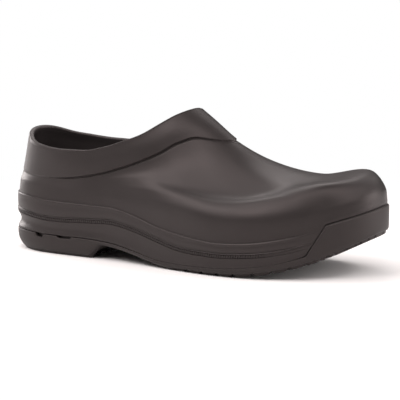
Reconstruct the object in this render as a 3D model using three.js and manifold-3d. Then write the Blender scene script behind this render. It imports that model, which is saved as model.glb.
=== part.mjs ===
// A chef's slip-on clog for the right foot, empty and standing on its sole.
// Millimetres: +X runs to the toe, +Y to the inner side of the foot and +Z up.
// The origin is on the floor under the middle of the shoe.
import * as THREE from 'three';
import Module from 'manifold-3d';

// Sizes of the last
const LENGTH = 302;
const BALL_WIDTH = 112;
const HEEL_RADIUS = 37;
const TOE_RADIUS = 46;
const INSTEP_HEIGHT = 110.5;
const SIDE_HEIGHT = 40;
const TOE_SPRING = 29.5;
const ARCH_HEIGHT = 10.2;

// Sizes of the upper
const WALL = 3.6;
const SIDE_WALL = 6.5;
const COLLAR_WALL = 3.9;
const COLLAR_WIDTH = 70;
const COLLAR_SETBACK = 11;
const COLLAR_TILT = 2.8;
const SEAT_WIDTH = 73.4;
const SEAT_SETBACK = 3.9;
const SEAT_LENGTH = 33.6;
const BAND_STEP = 1.2;
const RIM_ROUND = 1.2;
const FOXING_STEP = 1.3;
const GROOVE_WIDTH = 3;
const GROOVE_DEPTH = 0.8;
const CORNER = 3.5;
const FLOOR_LEAN = 0.7;

// Sizes of the outsole and the footbed
const SHEET = 2.5;
const LUG_DEPTH = 2;
const LUG_PITCH = 15;
const CHANNEL = 2.6;
const EDGE_RIB = 7;
const OUTSOLE_WALL = 3.2;
const EDGE_ROUND = 0.7;
const INSOLE = 4.2;
const HEEL_CUP = 2.6;
const ARCH_SUPPORT = 4;
const CLEARANCE = 0.3;

// The room inside starts this far within the outline
const INSIDE = FOXING_STEP + SIDE_WALL + FLOOR_LEAN;

// Places along the shoe, as shares of its length from the heel's back
const HEEL_END = 0.283;
const BREAST_TOP = 0.318;
const ARCH_END = 0.56;
const SPRING_START = 0.635;
const SPRING_TWIST = 0.134;
const BUMPER_LOW = 0.888;
const BUMPER_TOP = 0.926;
const NOTCH_START = 0.8;
const THROAT = 0.5115;
const COLLAR_LEAN = 0.4;

// Columns round the shoe, from the heel's back by the outer side to the toe and back
const COLUMNS = 80;
const HALF = COLUMNS / 2;

// Plan of the sole: centre line and half breadth, as shares of the ball width
const PLAN = [
  { along: 0, centre: 0 },
  { along: 0.06, centre: 0, half: 0.277 },
  { along: 0.15, centre: -0.004, half: 0.339 },
  { along: 0.3, centre: -0.013, half: 0.353 },
  { along: 0.42, centre: -0.031, half: 0.371 },
  { along: 0.55, centre: -0.04, half: 0.42 },
  { along: 0.66, centre: -0.022, half: 0.478 },
  { along: 0.75, centre: 0.004, half: 0.4955 },
  { along: 0.85, centre: 0.036, half: 0.451 },
  { along: 0.93, centre: 0.0625, half: 0.344 },
  { along: 1, centre: 0.09 },
];

// Side of the sole, as shares of the side height over the toe's lift: the outsole's top edge and
// its bumper's, the groove, the foxing line and the floor inside
const SIDE = [
  { along: 0, edge: 0.39, bumper: 0.56, groove: 0.8, foxing: 1.08, floor: 0.66 },
  { along: 0.06, edge: 0.385, bumper: 0.56, groove: 0.77, foxing: 1.07, floor: 0.66 },
  { along: 0.15, edge: 0.358, bumper: 0.56, groove: 0.705, foxing: 1.015, floor: 0.65 },
  { along: 0.3, edge: 0.35, bumper: 0.56, groove: 0.74, foxing: 0.995, floor: 0.64 },
  { along: 0.36, edge: 0.322, bumper: 0.56, groove: 0.755, foxing: 0.985, floor: 0.59 },
  { along: 0.42, edge: 0.252, bumper: 0.56, groove: 0.69, foxing: 0.905, floor: 0.52 },
  { along: 0.5, edge: 0.145, bumper: 0.56, groove: 0.55, foxing: 0.748, floor: 0.43 },
  { along: 0.56, edge: 0.125, bumper: 0.56, groove: 0.453, foxing: 0.672, floor: 0.375 },
  { along: 0.66, edge: 0.137, bumper: 0.56, groove: 0.41, foxing: 0.598, floor: 0.335 },
  { along: 0.75, edge: 0.154, bumper: 0.56, groove: 0.406, foxing: 0.591, floor: 0.33 },
  { along: 0.85, edge: 0.161, bumper: 0.57, groove: 0.381, foxing: 0.571, floor: 0.33 },
  { along: 0.94, edge: 0.161, bumper: 0.572, groove: 0.36, foxing: 0.51, floor: 0.33 },
  { along: 1, edge: 0.161, bumper: 0.475, groove: 0.34, foxing: 0.46, floor: 0.33 },
];

// Depths of the side's form, as shares of the side height: the waist under the groove and the
// bevel of the bottom edge
const FORM = [
  { along: 0, waist: 0.065, bevel: 0.18 },
  { along: 0.06, waist: 0.06, bevel: 0.13 },
  { along: 0.15, waist: 0.045, bevel: 0.08 },
  { along: 0.3, waist: 0.03, bevel: 0.07 },
  { along: 0.42, waist: 0.02, bevel: 0.07 },
  { along: 0.6, waist: 0.01, bevel: 0.08 },
  { along: 0.85, waist: 0.01, bevel: 0.08 },
  { along: 0.93, waist: 0.01, bevel: 0.05 },
  { along: 1, waist: 0.01, bevel: 0.04 },
];

// Sections of the upper over the foxing line: where the wall and the shoulder turn, inwards as
// shares of the ball width and upwards as shares of the instep height, and the hollow above them
const WALLS = [
  { along: 0, wallIn: 0.005, wallUp: 0.045, turnIn: 0.012, turnUp: 0.09, hollow: 0 },
  { along: 0.15, wallIn: 0.005, wallUp: 0.045, turnIn: 0.011, turnUp: 0.09, hollow: 0 },
  { along: 0.3, wallIn: 0.005, wallUp: 0.054, turnIn: 0.012, turnUp: 0.1, hollow: 0 },
  { along: 0.42, wallIn: 0.006, wallUp: 0.09, turnIn: 0.027, turnUp: 0.163, hollow: 0 },
  { along: 0.5, wallIn: 0.007, wallUp: 0.145, turnIn: 0.036, turnUp: 0.217, hollow: 0.009 },
  { along: 0.56, wallIn: 0.008, wallUp: 0.163, turnIn: 0.045, turnUp: 0.235, hollow: 0.024 },
  { along: 0.66, wallIn: 0.009, wallUp: 0.163, turnIn: 0.054, turnUp: 0.24, hollow: 0.05 },
  { along: 0.75, wallIn: 0.009, wallUp: 0.154, turnIn: 0.054, turnUp: 0.24, hollow: 0.069 },
  { along: 0.85, wallIn: 0.009, wallUp: 0.136, turnIn: 0.058, turnUp: 0.245, hollow: 0.082 },
  { along: 0.93, wallIn: 0.011, wallUp: 0.131, turnIn: 0.062, turnUp: 0.252, hollow: 0.088 },
  { along: 1, wallIn: 0.013, wallUp: 0.109, turnIn: 0.096, turnUp: 0.192, hollow: 0.098 },
];

// Collar from its back to its front: heights of the rim and of the seat under the band, as shares
// of the instep height, and the band's lower edge as a share of the way from seat to rim
const COLLAR = [
  { along: 0, rim: 0.828, seat: 0.541, band: 0.078 },
  { along: 0.1, rim: 0.768, seat: 0.527, band: 0.061 },
  { along: 0.2, rim: 0.744, seat: 0.521, band: 0.057 },
  { along: 0.3, rim: 0.731, seat: 0.523, band: 0.065 },
  { along: 0.4, rim: 0.729, seat: 0.535, band: 0.093 },
  { along: 0.5, rim: 0.731, seat: 0.557, band: 0.146 },
  { along: 0.6, rim: 0.758, seat: 0.588, band: 0.227 },
  { along: 0.7, rim: 0.798, seat: 0.618, band: 0.32 },
  { along: 0.8, rim: 0.848, seat: 0.649, band: 0.416 },
  { along: 0.9, rim: 0.929, seat: 0.694, band: 0.482 },
  { along: 0.95, rim: 0.972, seat: 0.747, band: 0.39 },
  { along: 1, rim: 1.008, seat: 0.804, band: 0.01 },
];

// Rings of the skin, counted in its key rings: foot, wall, turn, two between, seat and rim.
// Each row says how far the surface stands proud there, as a share of the band's step
const SEAT_KEY = 5;
const RIM_KEY = 6;
const OUTER_ROWS = [
  { at: 0.6, proud: 0 },
  { at: 1.1, proud: 0 },
  { at: 1.5, proud: 0 },
  { at: 1.9, proud: 0 },
  { at: 2.25, proud: 0 },
  { at: 2.65, proud: 0 },
  { at: 3.1, proud: 0 },
  { at: 3.6, proud: 0 },
  { at: 4.2, proud: 0 },
  { at: SEAT_KEY, proud: 0 },
  { at: SEAT_KEY + 0.04, proud: 1 },
  { at: 5.5, proud: 1 },
  { at: 5.94, proud: 0.9 },
];
const INNER_ROWS = [5.75, 5.2, 4.6, 4, 3.3, 2.6, 2, 1.5, 0.8];

const clamp = THREE.MathUtils.clamp;
const lerp = THREE.MathUtils.lerp;
const ramp = (value, from, to) => clamp((value - from) / (to - from), 0, 1);
const soft = (value, from, to) => THREE.MathUtils.smoothstep(value, from, to);

// Tangents of a smooth curve through knots at the given places
function tangents(at, values) {
  const slopes = values.slice(1).map((v, i) => (v - values[i]) / (at[i + 1] - at[i]));
  return values.map((v, i) => {
    if (i === 0) return slopes[0];
    if (i === slopes.length) return slopes[i - 1];
    const before = at[i] - at[i - 1];
    const after = at[i + 1] - at[i];
    return (slopes[i - 1] * after + slopes[i] * before) / (before + after);
  });
}

// A smooth function through (at, values)
function curve(at, values) {
  const slopes = tangents(at, values);
  return (place) => {
    const t = clamp(place, at[0], at[at.length - 1]);
    let i = 0;
    while (i < at.length - 2 && t > at[i + 1]) i += 1;
    const width = at[i + 1] - at[i];
    const u = (t - at[i]) / width;
    const v = 1 - u;
    const ends = v * v * (1 + 2 * u) * values[i] + u * u * (1 + 2 * v) * values[i + 1];
    return ends + width * u * v * (v * slopes[i] - u * slopes[i + 1]);
  };
}

// A table's column as a smooth function of the share along
const column = (rows, name, scale) =>
  curve(rows.map((row) => row.along), rows.map((row) => row[name] * scale));

const columns = (rows, names) =>
  Object.fromEntries(names.map((name) => [name, column(rows, name, SIDE_HEIGHT)]));
const side = {
  ...columns(SIDE, ['edge', 'bumper', 'groove', 'foxing', 'floor']),
  ...columns(FORM, ['waist', 'bevel']),
};
const wallIn = column(WALLS, 'wallIn', BALL_WIDTH);
const turnIn = column(WALLS, 'turnIn', BALL_WIDTH);
const wallUp = column(WALLS, 'wallUp', INSTEP_HEIGHT);
const turnUp = column(WALLS, 'turnUp', INSTEP_HEIGHT);
const hollow = column(WALLS, 'hollow', INSTEP_HEIGHT);
const rimHeight = column(COLLAR, 'rim', INSTEP_HEIGHT);
const seatHeight = column(COLLAR, 'seat', INSTEP_HEIGHT);
const bandEdge = column(COLLAR, 'band', 1);

// The plan is an ellipse whose half breadth swells and whose centre line bends along the shoe:
// the half breadth is the round factor times this girth
const round = (share) => 2 * Math.sqrt(share * (1 - share));
const girth = curve(
  PLAN.map((row) => row.along),
  PLAN.map((row) => {
    if (row.along === 0) return Math.sqrt((HEEL_RADIUS * LENGTH) / 2);
    if (row.along === 1) return Math.sqrt((TOE_RADIUS * LENGTH) / 2);
    return (row.half * BALL_WIDTH) / round(row.along);
  }),
);
const centreLine = column(PLAN, 'centre', BALL_WIDTH);
const shareAt = (angle) => (1 - Math.cos(angle)) / 2;
const angleAt = (share) => Math.acos(1 - 2 * share);
const shareOf = (x) => clamp(x / LENGTH + 0.5, 0, 1);

function planPoint(angle) {
  const share = shareAt(angle);
  return [(share - 0.5) * LENGTH, centreLine(share) - Math.sin(angle) * girth(share)];
}

// Columns of every ring: even steps of angle, with one column moved to each end of the heel's
// breast and of the bumper's slanting rear edge
function columnAngles() {
  const angles = Array.from({ length: HALF + 1 }, (_, i) => (i * Math.PI) / HALF);
  const taken = new Set([0, HALF]);
  [HEEL_END, BREAST_TOP, BUMPER_LOW, BUMPER_TOP].forEach((share) => {
    const angle = angleAt(share);
    let i = Math.round((angle * HALF) / Math.PI);
    while (taken.has(i)) i += 1;
    taken.add(i);
    angles[i] = angle;
  });
  const back = angles.slice(1, HALF).reverse().map((angle) => 2 * Math.PI - angle);
  return [...angles, ...back];
}

const STEP_ANGLE = 0.001;
const stations = columnAngles().map((angle) => {
  const [x, y] = planPoint(angle);
  const [xa, ya] = planPoint(angle - STEP_ANGLE);
  const [xb, yb] = planPoint(angle + STEP_ANGLE);
  const span = Math.hypot(xb - xa, yb - ya);
  return { angle, share: shareAt(angle), x, y, nx: (yb - ya) / span, ny: (xa - xb) / span };
});

// A point on a level ring, a distance inside the plan's outline
const inset = (station, depth, z) =>
  new THREE.Vector3(station.x - station.nx * depth, station.y - station.ny * depth, z);

// A ring at a depth inside the outline. Its height follows the place where each point comes to
// lie, or the station's own place on the outline
function groundRing(depth, height) {
  return stations.map((station) => {
    const point = inset(station, depth(station.share), 0);
    point.z = height(shareOf(point.x), point.y);
    return point;
  });
}
const sideRing = (depth, height) =>
  stations.map(({ share, y }, i) => inset(stations[i], depth(share), height(share, y)));

// Heights of the sole at a share of the length and a place across
function toeLift(share, y) {
  const twist = (SPRING_TWIST * (y - centreLine(1))) / BALL_WIDTH;
  const rise = (share - SPRING_START) / (1 - SPRING_START) + twist;
  return TOE_SPRING * Math.max(0, rise) ** 2.2;
}
const archFall = (share) => (1 + Math.cos(Math.PI * ramp(share, BREAST_TOP, ARCH_END))) / 2;
const archRise = (share) => ARCH_HEIGHT * ramp(share, HEEL_END, BREAST_TOP) * archFall(share);
const ground = (share, y) => toeLift(share, y) + archRise(share);
const onGround = (share) => 1 - ramp(share, HEEL_END, BREAST_TOP) + soft(share, 0.5, 0.58);
const lugTop = (share, y) => ground(share, y) + LUG_DEPTH * onGround(share);
const traySurface = (share, y) => lugTop(share, y) + SHEET;
const floorHeight = (share, y) => side.floor(share) + 0.8 * toeLift(share, y);
const bumperRise = (share) => ramp(share, BUMPER_LOW, BUMPER_TOP);
const edgeHeight = (share, y) =>
  toeLift(share, y) + lerp(side.edge(share), side.bumper(share), bumperRise(share));
const lip = (share, y) => edgeHeight(share, y) + CLEARANCE;

// The moulded lines of the side fade out before the toe, where the bumper covers them
const LINE = 0.25;
const sideLines = (share) => 1 - soft(share, 0.84, 0.92);
const line = (height, order) => (share, y) =>
  Math.max(toeLift(share, y) + height(share), lip(share, y) + order * LINE);
const foxingHeight = line(side.foxing, 9);

// Collar rings in plan: an egg with a full back, tipped so that the inner side stands higher
function collarPoint(angle, back, front, width, height, tilt) {
  const share = shareAt(angle);
  const c = Math.cos(angle);
  const y = -Math.sin(angle) * (width / 2) * (1 + 0.12 * c + 0.25 * c * c);
  const z = height(share) - Math.sin(angle) * tilt * (1 - share) ** 2;
  return new THREE.Vector3(lerp(back, front, share), y, z);
}
const rimFront = (THROAT - 0.5) * LENGTH;
const leant = (angle) => angle + COLLAR_LEAN * Math.sin(angle);
const rimPoint = (angle) =>
  collarPoint(leant(angle), COLLAR_SETBACK - LENGTH / 2, rimFront, COLLAR_WIDTH, rimHeight, COLLAR_TILT);
const seatPoint = (angle) =>
  collarPoint(
    leant(angle),
    SEAT_SETBACK - LENGTH / 2,
    rimFront + SEAT_LENGTH,
    SEAT_WIDTH,
    seatHeight,
    COLLAR_TILT / 2,
  );

const KNOT_POWER = 0.6;

// The skin of the upper at an angle round the shoe: a curve from the foxing line by the wall,
// the shoulder and the vamp to the band's seat and the rim
function skinCurve(angle) {
  const share = shareAt(angle);
  const [x, y] = planPoint(angle);
  const [xa, ya] = planPoint(angle - STEP_ANGLE);
  const [xb, yb] = planPoint(angle + STEP_ANGLE);
  const span = Math.hypot(xb - xa, yb - ya);
  const station = { x, y, nx: (yb - ya) / span, ny: (xa - xb) / span };
  const base = toeLift(share, y) + side.foxing(share);
  const foot = inset(station, FOXING_STEP, foxingHeight(share, y));
  const wall = inset(station, FOXING_STEP + wallIn(share), base + wallUp(share));
  const turn = inset(station, FOXING_STEP + turnIn(share), base + turnUp(share));
  const seat = seatPoint(angle);
  const between = [0.36, 0.7].map((part) => {
    const point = turn.clone().lerp(seat, part);
    point.z -= hollow(share) * 4 * part * (1 - part);
    return point;
  });
  const points = [foot, wall, turn, ...between, seat, rimPoint(angle)];
  const knots = [0];
  points.slice(1).forEach((point, i) => {
    knots.push(knots[i] + point.distanceTo(points[i]) ** KNOT_POWER);
  });
  const along = ['x', 'y', 'z'].map((axis) => curve(knots, points.map((point) => point[axis])));
  return (key) => {
    const i = Math.min(Math.floor(key), RIM_KEY - 1);
    const at = lerp(knots[i], knots[i + 1], key - i);
    return new THREE.Vector3(along[0](at), along[1](at), along[2](at));
  };
}

// Skin curves at each column, with one a small step to either side for the surface's normal
const skins = stations.map(({ angle }) => ({
  middle: skinCurve(angle),
  before: skinCurve(angle - STEP_ANGLE),
  after: skinCurve(angle + STEP_ANGLE),
}));
const STEP_UP = 0.02;
function skinNormal(skin, at) {
  const low = clamp(at - STEP_UP, 0, RIM_KEY);
  const high = clamp(at + STEP_UP, 0, RIM_KEY);
  const up = skin.middle(high).sub(skin.middle(low));
  const round_ = skin.after(at).sub(skin.before(at));
  return round_.cross(up).normalize();
}

// The band's step is shallow at the heel's back and full along the quarters and the tongue
const bandStep = (angle) => BAND_STEP * lerp(0.35, 1, soft(shareAt(leant(angle)), 0.1, 0.45));

// Rows are spread so that the one at the seat's key follows the band's lower edge
function spread(at, angle) {
  const edge = SEAT_KEY + bandEdge(shareAt(leant(angle)));
  if (at <= SEAT_KEY) return (at * edge) / SEAT_KEY;
  return lerp(edge, RIM_KEY, (at - SEAT_KEY) / (RIM_KEY - SEAT_KEY));
}

// A ring of the skin, moved out of the surface by an offset that may follow the band's step
const skinRing = (row, offset, rise = 0) =>
  skins.map((skin, i) => {
    const { angle } = stations[i];
    const at = spread(row, angle);
    const point = skin.middle(at).addScaledVector(skinNormal(skin, at), offset(bandStep(angle)));
    point.z += rise;
    return point;
  });

// A closed solid through a list of rings, capped across its first and its last ring. The last
// cap can be divided across and raised by a crown. Each quad splits along its shorter diagonal,
// so that neighbouring pieces keep their clearance
function ringSolid(rings, across = 0, crown = null) {
  const vertices = rings.flat();
  const faces = [];
  const span = (a, b) => vertices[a].distanceTo(vertices[b]);
  const quad = (a, b, c, d) => {
    if (span(a, c) < span(b, d)) faces.push([a, b, c], [a, c, d]);
    else faces.push([a, b, d], [b, c, d]);
  };
  rings.slice(1).forEach((_, i) => {
    for (let j = 0; j < COLUMNS; j += 1) {
      const next = (j + 1) % COLUMNS;
      quad(i * COLUMNS + j, i * COLUMNS + next, (i + 1) * COLUMNS + next, (i + 1) * COLUMNS + j);
    }
  });
  const cap = (first, rows, lift, up) => {
    const grid = Array.from({ length: HALF + 1 }, (_, j) => {
      const left = first + j;
      const right = first + ((COLUMNS - j) % COLUMNS);
      const inner = Array.from({ length: rows }, (_unused, k) => {
        if (left === right) return left;
        const part = (k + 1) / (rows + 1);
        const point = vertices[left].clone().lerp(vertices[right], part);
        point.z += lift(part, stations[j].share);
        vertices.push(point);
        return vertices.length - 1;
      });
      return [left, ...inner, right];
    });
    for (let j = 0; j < HALF; j += 1) {
      for (let k = 0; k <= rows; k += 1) {
        const [near, far] = [grid[j], grid[j + 1]];
        if (up) quad(near[k], far[k], far[k + 1], near[k + 1]);
        else quad(near[k], near[k + 1], far[k + 1], far[k]);
      }
    }
  };
  cap(0, 0, null, false);
  cap((rings.length - 1) * COLUMNS, across, crown, true);
  const whole = faces.filter(([a, b, c]) => a !== b && b !== c && c !== a);
  const geometry = new THREE.BufferGeometry();
  const numbers = vertices.flatMap((point) => point.toArray());
  geometry.setAttribute('position', new THREE.Float32BufferAttribute(numbers, 3));
  geometry.setIndex(whole.flat());
  return geometry;
}

const wasm = await Module();
wasm.setup();

function toSolid(geometry) {
  const vertProperties = new Float32Array(geometry.attributes.position.array);
  const triVerts = new Uint32Array(geometry.index.array);
  return new wasm.Manifold(new wasm.Mesh({ numProp: 3, vertProperties, triVerts }));
}

function toGeometry(solid) {
  const mesh = solid.getMesh();
  const geometry = new THREE.BufferGeometry();
  geometry.setAttribute('position', new THREE.BufferAttribute(mesh.vertProperties, 3));
  geometry.setIndex(new THREE.BufferAttribute(mesh.triVerts, 1));
  return geometry;
}

// The outsole's tray and the upper's core that sits in it: the corner between wall and floor
const TRAY_CORNER = 1.5;
const trayCorner = (share, y) =>
  Math.min(traySurface(share, y) + TRAY_CORNER, edgeHeight(share, y) - 0.2);

// Upper: moulded in one with its floor. From the core that sits in the outsole's tray, up the
// ribbed side, over the vamp and the collar band, over the rim and down the inside
function upperGeometry() {
  const coreIn = OUTSOLE_WALL + CLEARANCE;
  const raised = (height) => (share, y) => height(share, y) + CLEARANCE;
  const depth = (value) => (share) => lerp(FOXING_STEP, value, sideLines(share));
  const waistHeight = (share) => (side.edge(share) + side.groove(share) - GROOVE_WIDTH) / 2;
  const grooveLow = (share) => side.groove(share) - GROOVE_WIDTH;
  const swell = (share) => (side.groove(share) + side.foxing(share)) / 2;
  const rings = [
    groundRing(() => coreIn + TRAY_CORNER, raised(traySurface)),
    groundRing(() => coreIn, raised(trayCorner)),
    sideRing(() => coreIn, lip),
    sideRing(depth(0.3), lip),
    sideRing((share) => depth(side.waist(share))(share), line(waistHeight, 1)),
    sideRing(depth(0.4), line(grooveLow, 2)),
    sideRing(depth(0.4 + GROOVE_DEPTH), line((share) => grooveLow(share) + 0.4, 3)),
    sideRing(depth(0.3 + GROOVE_DEPTH), line((share) => side.groove(share) - 0.4, 4)),
    sideRing(depth(0.3), line(side.groove, 5)),
    sideRing(depth(0), line(swell, 6)),
    sideRing(depth(0.3), line((share) => side.foxing(share) - 0.6, 7)),
    sideRing(() => FOXING_STEP, foxingHeight),
  ];
  OUTER_ROWS.forEach(({ at, proud }) => rings.push(skinRing(at, (step) => proud * step)));
  const rounding = RIM_ROUND / 2;
  rings.push(skinRing(RIM_KEY, (step) => step - rounding, -RIM_ROUND));
  rings.push(skinRing(RIM_KEY, (step) => step / 2 - rounding));
  rings.push(skinRing(RIM_KEY, (step) => rounding - COLLAR_WALL + step));
  rings.push(skinRing(RIM_KEY, (step) => step - COLLAR_WALL, -RIM_ROUND));
  INNER_ROWS.forEach((at) => {
    const wall = lerp(WALL, COLLAR_WALL - BAND_STEP, soft(at, 4.5, SEAT_KEY));
    rings.push(skinRing(at, () => -lerp(SIDE_WALL, wall, soft(at, 0, 2))));
  });
  rings.push(sideRing(() => INSIDE - FLOOR_LEAN, foxingHeight));
  rings.push(groundRing(() => INSIDE, (share, y) => floorHeight(share, y) + CORNER));
  rings.push(groundRing(() => INSIDE + CORNER, floorHeight));
  return ringSolid(rings);
}

// Boxes for the channels between the lugs of the heel and of the forefoot
function channelBoxes() {
  const xOf = (share) => (share - 0.5) * LENGTH;
  const box = (length, width, x, y) => {
    const geometry = new THREE.BoxGeometry(length, width, LENGTH);
    geometry.translate(x, y, 0);
    return weld(geometry);
  };
  const zones = [
    [0, HEEL_END - 0.012],
    [ARCH_END + 0.02, 1],
  ];
  const boxes = [];
  zones.forEach(([from, to]) => {
    const length = xOf(to) - xOf(from);
    const lanes = Math.floor(BALL_WIDTH / 2 / LUG_PITCH);
    for (let lane = -lanes; lane <= lanes; lane += 1) {
      boxes.push(box(length, CHANNEL, xOf(from) + length / 2, lane * LUG_PITCH));
    }
    for (let x = xOf(to) - LUG_PITCH; x > xOf(from) + LUG_PITCH / 2; x -= LUG_PITCH) {
      boxes.push(box(CHANNEL, BALL_WIDTH, x, 0));
    }
  });
  return boxes;
}

// Merges the doubled corners of a plain geometry
function weld(geometry) {
  const position = geometry.attributes.position;
  const seen = new Map();
  const points = [];
  const order = [];
  for (let i = 0; i < position.count; i += 1) {
    const corner = [position.getX(i), position.getY(i), position.getZ(i)];
    const key = corner.map((value) => value.toFixed(4)).join();
    if (!seen.has(key)) {
      seen.set(key, points.length);
      points.push(corner);
    }
    order.push(seen.get(key));
  }
  const index = geometry.index ? Array.from(geometry.index.array, (i) => order[i]) : order;
  const welded = new THREE.BufferGeometry();
  welded.setAttribute('position', new THREE.Float32BufferAttribute(points.flat(), 3));
  welded.setIndex(index);
  return welded;
}

// Notches through the sole's edge round the toe
function notchCutters() {
  const first = angleAt(NOTCH_START);
  const count = 16;
  return Array.from({ length: count + 1 }, (_, i) => {
    const angle = lerp(first, 2 * Math.PI - first, i / count);
    const [x, y] = planPoint(angle);
    const [xa, ya] = planPoint(angle - STEP_ANGLE);
    const [xb, yb] = planPoint(angle + STEP_ANGLE);
    const heading = Math.atan2(yb - ya, xb - xa);
    const normal = new THREE.Vector2(yb - ya, xa - xb).normalize();
    const centre = new THREE.Vector2(x, y).addScaledVector(normal, -EDGE_RIB / 2);
    const height = LUG_DEPTH * 4;
    const box = new THREE.BoxGeometry(CHANNEL, EDGE_RIB * 1.6, height);
    box.rotateZ(heading);
    const top = ground(shareOf(centre.x), centre.y) + LUG_DEPTH;
    box.translate(centre.x, centre.y, top - height / 2);
    return weld(box);
  });
}

// Outsole: a thin tray with a heel block, an arch, a turned-up toe bumper and lugs below
function outsoleGeometry() {
  const bevel = (part) => (share) => side.bevel(share) * part;
  const rise = (share, y) =>
    Math.min(edgeHeight(share, y) - ground(share, y), side.edge(share));
  const up = (part) => (share, y) => ground(share, y) + rise(share, y) * part;
  const tray = ringSolid([
    groundRing(bevel(1), ground),
    sideRing(bevel(0.35), up(0.3)),
    sideRing(bevel(0.05), up(0.65)),
    sideRing(() => 0, (share, y) => edgeHeight(share, y) - EDGE_ROUND),
    sideRing(() => EDGE_ROUND, edgeHeight),
    sideRing(() => OUTSOLE_WALL, edgeHeight),
    groundRing(() => OUTSOLE_WALL, trayCorner),
    groundRing(() => OUTSOLE_WALL + TRAY_CORNER, traySurface),
  ]);
  const field = ringSolid([
    groundRing(() => EDGE_RIB, () => -LENGTH / 4),
    groundRing(() => EDGE_RIB, lugTop),
  ]);
  const join = (geometries) => geometries.map(toSolid).reduce((all, solid) => all.add(solid));
  const channels = join(channelBoxes()).intersect(toSolid(field));
  return toGeometry(toSolid(tray).subtract(channels.add(join(notchCutters()))));
}

// Footbed: a loose moulded insole with a cupped heel and a raised arch on the inner side
function insoleGeometry() {
  const edgeIn = INSIDE + CLEARANCE * 1.6;
  const cup = (share) => HEEL_CUP * (1 - soft(share, 0.12, 0.34));
  const arch = (share) => ARCH_SUPPORT * soft(share, 0.22, 0.38) * (1 - soft(share, 0.4, 0.58));
  const rims = (depth, height, edge) =>
    stations.map((station) => {
      const point = inset(station, depth, 0);
      const inner = Math.max(0, -Math.sin(station.angle));
      const raise = edge * (cup(station.share) + arch(station.share) * inner);
      point.z = floorHeight(shareOf(point.x), point.y) + height + raise;
      return point;
    });
  const crown = (part, share) => {
    const valley = 4 * part * (1 - part);
    return -valley * (0.9 * cup(share) + 0.3 * arch(share));
  };
  return ringSolid(
    [
      rims(edgeIn + CORNER - CLEARANCE, CLEARANCE, 0),
      rims(edgeIn, CORNER, 0),
      rims(edgeIn + 0.2, INSOLE, 1),
      rims(edgeIn + 2, INSOLE + 0.3, 1),
    ],
    3,
    crown,
  );
}

const material = (color, roughness) =>
  new THREE.MeshStandardMaterial({ color, roughness, metalness: 0 });

function piece(name, geometry, finish) {
  const mesh = new THREE.Mesh(geometry, finish);
  mesh.name = name;
  return mesh;
}

const clog = new THREE.Group();
clog.add(piece('upper', upperGeometry(), material('#4a4342', 0.55)));
clog.add(piece('outsole', outsoleGeometry(), material('#3a3434', 0.65)));
clog.add(piece('insole', insoleGeometry(), material('#2e2a2a', 0.85)));

export default clog;
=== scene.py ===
"""Looks of a chef's slip-on clog for the right foot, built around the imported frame.

Shape functions work in millimetres, meshes are in metres. +X runs to the toe, +Y to the inner side
of the foot and +Z up. Every surface is a grid of rows up a section and columns round the shoe. The
sizes and tables at the top are those of the part's source.
"""

import math

import bmesh
import bpy
import numpy as np
from mathutils import Matrix, Vector
from mathutils.geometry import delaunay_2d_cdt

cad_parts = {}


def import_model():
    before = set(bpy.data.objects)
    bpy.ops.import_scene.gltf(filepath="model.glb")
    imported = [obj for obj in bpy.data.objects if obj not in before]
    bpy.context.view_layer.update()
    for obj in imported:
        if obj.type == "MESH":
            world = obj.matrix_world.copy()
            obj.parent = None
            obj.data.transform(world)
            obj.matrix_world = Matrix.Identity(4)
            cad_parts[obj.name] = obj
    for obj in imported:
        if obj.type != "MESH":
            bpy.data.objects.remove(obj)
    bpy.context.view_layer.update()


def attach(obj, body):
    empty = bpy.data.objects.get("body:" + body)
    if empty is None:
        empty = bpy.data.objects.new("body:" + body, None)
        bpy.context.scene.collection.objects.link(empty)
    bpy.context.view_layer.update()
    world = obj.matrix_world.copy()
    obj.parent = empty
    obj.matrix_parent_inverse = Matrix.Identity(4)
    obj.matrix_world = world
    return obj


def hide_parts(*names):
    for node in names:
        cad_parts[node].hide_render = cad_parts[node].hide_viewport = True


METRE = 0.001
CRISP_ANGLE = math.radians(40)

# Sizes of the last
LENGTH = 302
BALL_WIDTH = 112
HEEL_RADIUS = 37
TOE_RADIUS = 46
INSTEP_HEIGHT = 110.5
SIDE_HEIGHT = 40
TOE_SPRING = 29.5
ARCH_HEIGHT = 10.2

# Sizes of the upper. Those of the collar and the seat, THROAT and COLLAR_LEAN are rounded results
# of least-squares fits to the outline, some of them changed after that
WALL = 3.6
SIDE_WALL = 6.5
COLLAR_WALL = 3.9
COLLAR_WIDTH = 70
COLLAR_SETBACK = 11
COLLAR_TILT = 2.8
SEAT_WIDTH = 73.4
SEAT_SETBACK = 3.9
SEAT_LENGTH = 33.6
BAND_STEP = 1.2
RIM_ROUND = 1.5
FOXING_STEP = 1.3
CORNER = 3.5
FLOOR_LEAN = 0.7

# Sizes of the outsole and the footbed
SHEET = 2.5
LUG_DEPTH = 2
LUG_PITCH = 15
CHANNEL = 2.6
SIPE = 1.1
EDGE_RIB = 7
SHELF = 1.8
OUTSOLE_WALL = 3.2
TRAY_CORNER = 1.5
INSOLE = 4.2
HEEL_CUP = 2.6
ARCH_SUPPORT = 4
CLEARANCE = 0.3
INSIDE = FOXING_STEP + SIDE_WALL + FLOOR_LEAN

# Places along the shoe, as shares of its length from the heel's back
HEEL_END = 0.283
BREAST_TOP = 0.318
ARCH_END = 0.56
SPRING_START = 0.635
SPRING_TWIST = 0.134
BUMPER_LOW = 0.888
BUMPER_TOP = 0.926
THROAT = 0.5115

# How far the sections lean towards the throat, in radians
COLLAR_LEAN = 0.4

# Keys of the seat and the rim up a section, and the power of the distance between knots
SEAT_KEY = 5
RIM_KEY = 6
KNOT_POWER = 0.6


def table(names, *rows):
    """The columns of a short table, by name."""
    return dict(zip(names.split(), np.array(rows, float).T))


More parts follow.
